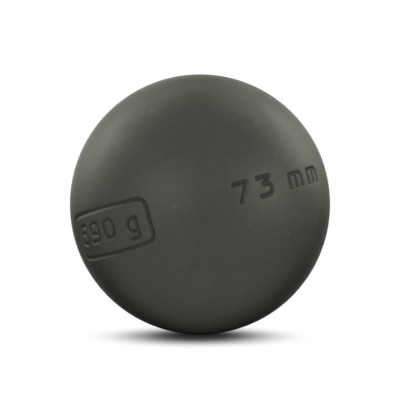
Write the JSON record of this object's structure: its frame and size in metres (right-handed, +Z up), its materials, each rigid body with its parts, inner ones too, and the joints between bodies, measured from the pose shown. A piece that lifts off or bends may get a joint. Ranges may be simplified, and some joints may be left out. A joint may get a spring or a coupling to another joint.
{
  "type": "petanque boule",
  "caption": "Hollow steel throwing ball, turned to a smooth sphere from welded half shells, with a dark satin finish and its mass and diameter engraved.",
  "frame": {"origin": "the centre of the ball", "axes": "+Z up as the ball lies in the picture; +Y along the axis of the weld, away from the engraved side; -Y towards the viewer"},
  "size_m": [0.073, 0.073, 0.073],
  "materials": {
    "shell_steel": "satin, dark anthracite",
    "weld_steel": "satin, turned flush with the shells"
  },
  "bodies": {
    "root": {"front_half_shell": "shell_steel", "rear_half_shell": "shell_steel", "weld_bead": "weld_steel"}
  },
  "joints": []
}
